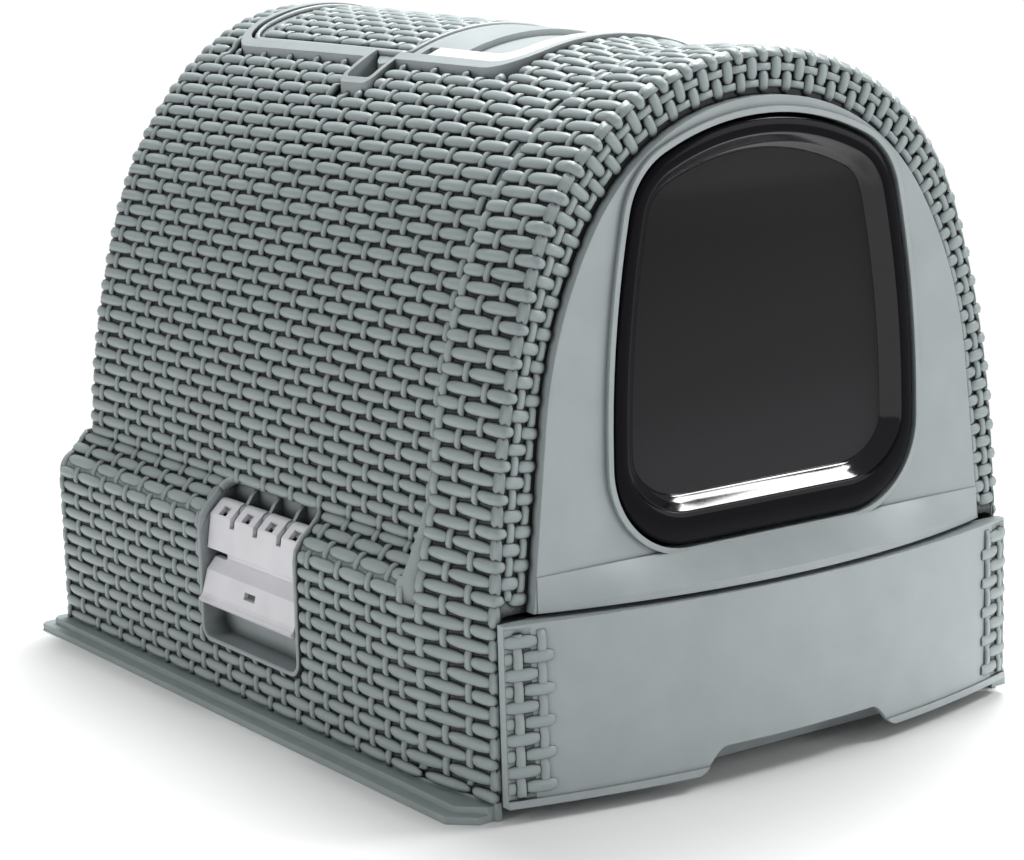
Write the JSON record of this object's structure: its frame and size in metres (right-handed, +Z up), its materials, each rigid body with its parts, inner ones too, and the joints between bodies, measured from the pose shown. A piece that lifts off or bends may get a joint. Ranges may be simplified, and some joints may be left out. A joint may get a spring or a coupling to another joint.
{
  "type": "cat litter box with hood",
  "caption": "Hooded cat litter box with a woven-look arched cover, smoked swing door, pull-out litter drawer, side latches, top lid and folding carry handle.",
  "frame": {"origin": "centre of the footprint on the floor", "axes": "+Z up, the door and drawer face -Y, X runs across"},
  "size_m": [0.385, 0.51, 0.3841],
  "materials": {
    "woven_plastic": "satin moulded polypropylene with a woven relief",
    "smooth_plastic": "satin, very fine grain",
    "tray_plastic": "satin",
    "gloss_black": "polished",
    "smoked_panel": "fine satin, dark smoke",
    "latch_plastic": "satin, light grey",
    "handle_plastic": "satin, pale grey",
    "pin_plastic": "smooth",
    "filter_fibre": "charcoal-filled fibre pad"
  },
  "bodies": {
    "hood": {"hood_shell": "woven_plastic", "top_rim": "smooth_plastic", "latch_frame_right": "smooth_plastic", "latch_frame_left": "smooth_plastic", "front_fascia": "smooth_plastic", "latch_pin_right": "pin_plastic", "latch_pin_left": "pin_plastic", "lid_hinge_pin": "pin_plastic", "top_compartment": "tray_plastic", "charcoal_filter": "filter_fibre", "filter_cover": "tray_plastic", "handle_panel": "smooth_plastic", "handle_pin_right": "pin_plastic", "handle_pin_left": "pin_plastic"},
    "flap": {"flap_frame": "gloss_black", "flap_panel": "smoked_panel", "flap_pin_right": "pin_plastic", "flap_pin_left": "pin_plastic"},
    "drawer": {"litter_tray": "tray_plastic", "tray_front": "smooth_plastic"},
    "latch_right_body": {"latch_right": "latch_plastic"},
    "latch_left_body": {"latch_left": "latch_plastic"},
    "lid": {"top_lid": "woven_plastic"},
    "handle": {"carry_handle": "handle_plastic"}
  },
  "joints": [
    {"name": "drawer_slide", "type": "slide", "parent": "hood", "child": "drawer", "axis": [0, -1, 0], "range_m": [0, 0.35]},
    {"name": "flap_swing", "type": "hinge", "parent": "hood", "child": "flap", "pos_m": [0, -0.2255, 0.293], "axis": [1, 0, 0], "range_deg": [-70, 70]},
    {"name": "latch_right_swing", "type": "hinge", "parent": "hood", "child": "latch_right_body", "pos_m": [0.1635, 0.003, 0.1105], "axis": [0, -1, 0], "range_deg": [0, 65]},
    {"name": "latch_left_swing", "type": "hinge", "parent": "hood", "child": "latch_left_body", "pos_m": [-0.1635, 0.003, 0.1105], "axis": [0, 1, 0], "range_deg": [0, 65]},
    {"name": "lid_swing", "type": "hinge", "parent": "hood", "child": "lid", "pos_m": [0, 0.1875, 0.37822], "axis": [-1, 0, 0], "range_deg": [0, 100]},
    {"name": "handle_swing", "type": "hinge", "parent": "hood", "child": "handle", "pos_m": [0, -0.016, 0.35839], "axis": [-1, 0, 0], "range_deg": [0, 90]}
  ]
}
